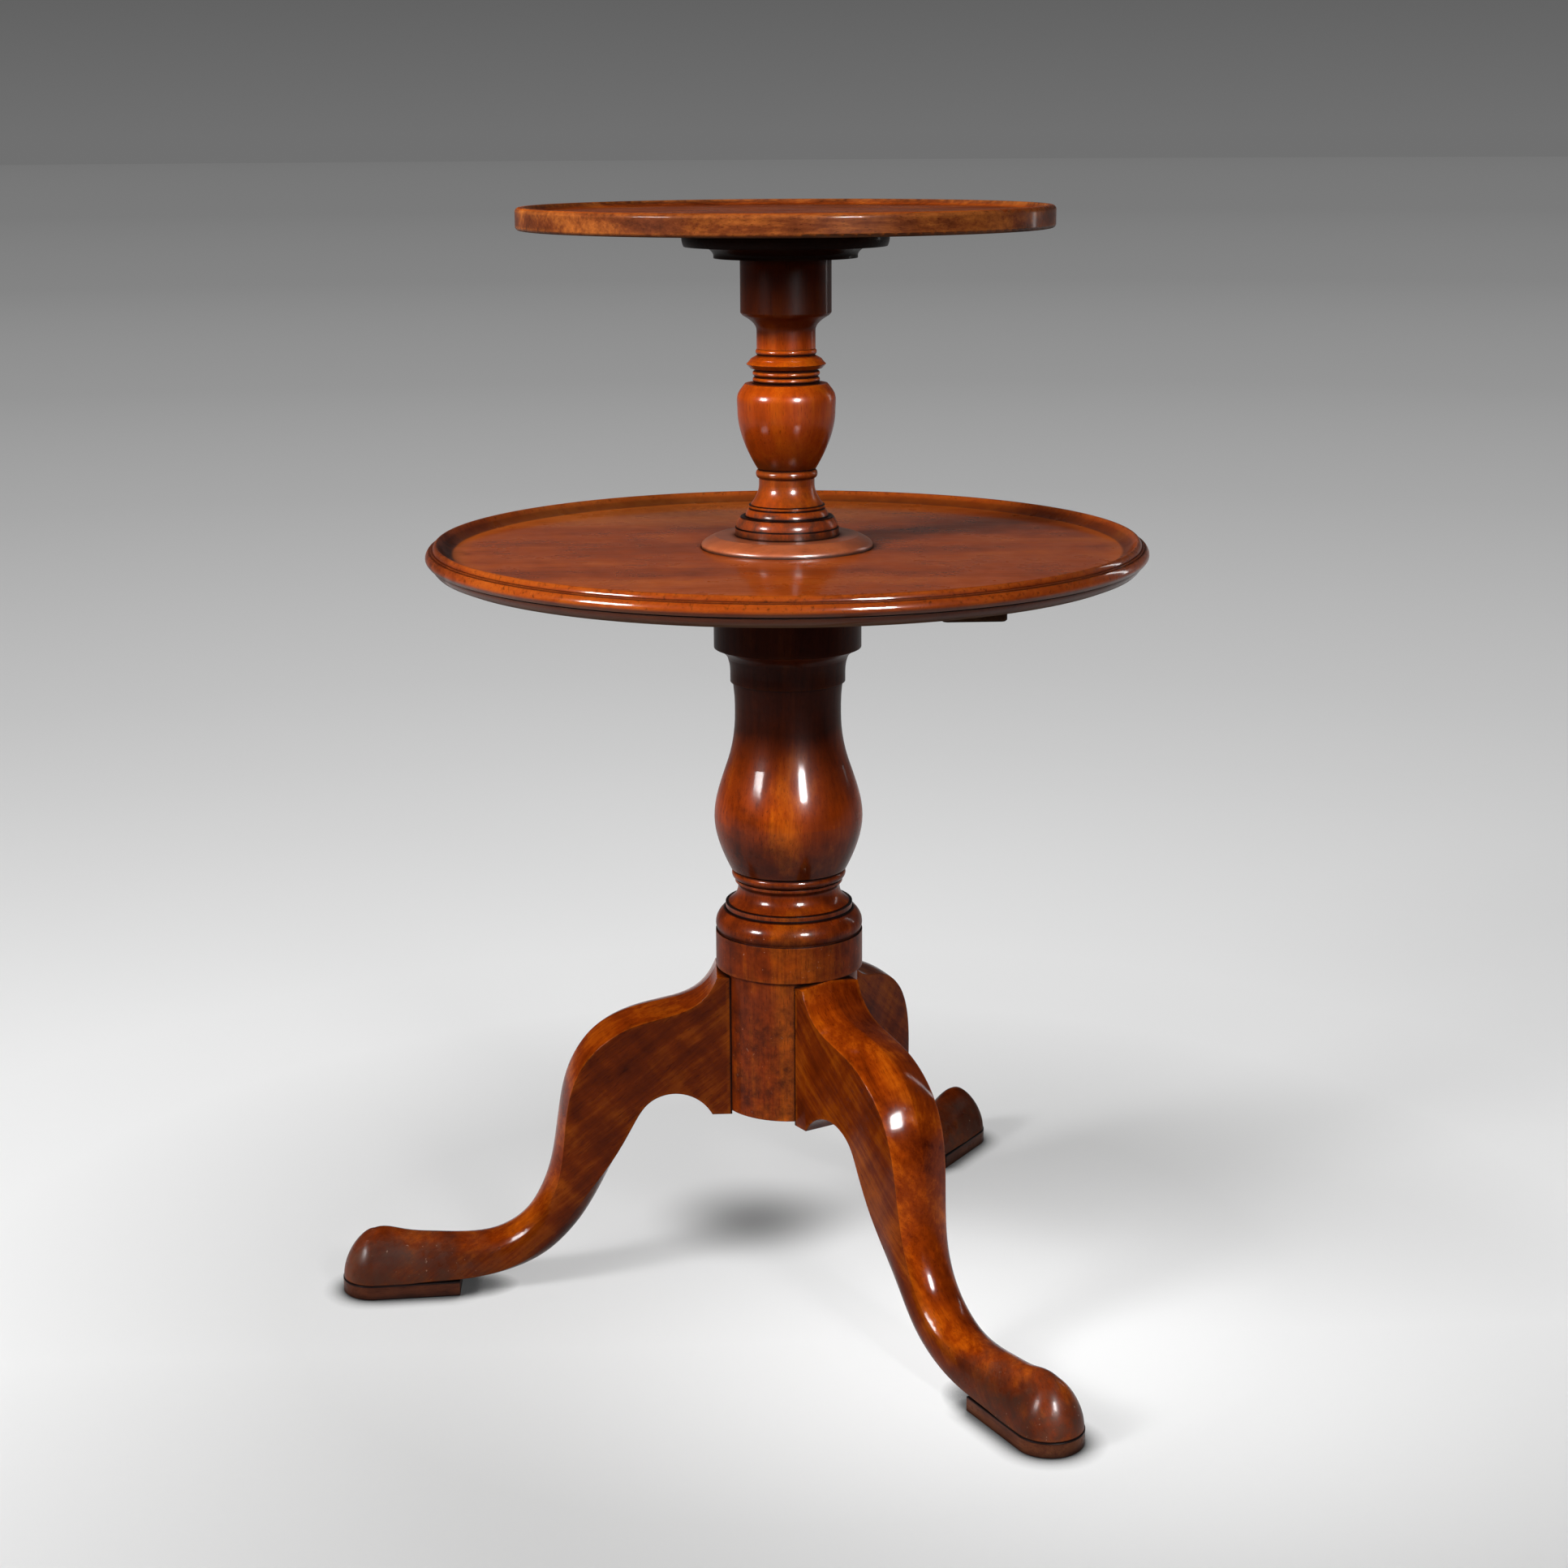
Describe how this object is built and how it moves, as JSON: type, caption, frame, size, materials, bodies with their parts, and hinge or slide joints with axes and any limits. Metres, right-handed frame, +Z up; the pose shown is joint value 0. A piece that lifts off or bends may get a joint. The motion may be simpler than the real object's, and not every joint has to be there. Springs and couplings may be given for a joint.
{
  "type": "tiered side table",
  "caption": "Tripod dumb waiter: a small dished tray over a larger moulded dished tray, on turned pillars and cabriole legs with pad feet.",
  "frame": {"origin": "on the common axis of the two pillars, at floor level", "axes": "+Z up along the pillars; -X along the left leg; the other legs at 60 and 300 degrees"},
  "size_m": [0.6331, 0.6316, 0.8508],
  "materials": {
    "pillar_wood": "french polished",
    "upper_pillar_wood": "french polished",
    "leg_wood": "french polished",
    "shoe_wood": "french polished",
    "tray_wood": "french polished",
    "batten_wood": "dry, unpolished",
    "boss_wood": "french polished",
    "flange_wood": "french polished",
    "top_wood": "french polished",
    "screw_iron": "aged iron"
  },
  "bodies": {
    "stand": {"lower_pillar": "pillar_wood", "left_leg": "leg_wood", "front_leg": "leg_wood", "rear_leg": "leg_wood", "left_shoe": "shoe_wood", "front_shoe": "shoe_wood", "rear_shoe": "shoe_wood", "upper_pillar": "upper_pillar_wood"},
    "lower_shelf": {"lower_tray": "tray_wood", "tray_batten": "batten_wood", "batten_screws": "screw_iron", "pillar_boss": "boss_wood", "boss_screws": "screw_iron"},
    "top_shelf": {"top_flange": "flange_wood", "flange_screws": "screw_iron", "top_tray": "top_wood"}
  },
  "joints": [
    {"name": "lower_tray_turn", "type": "hinge", "parent": "stand", "child": "lower_shelf", "pos_m": [0, 0, 0.5831], "axis": [0, 0, 1], "continuous": true},
    {"name": "top_tray_turn", "type": "hinge", "parent": "stand", "child": "top_shelf", "pos_m": [0, 0, 0.813], "axis": [0, 0, 1], "continuous": true}
  ]
}
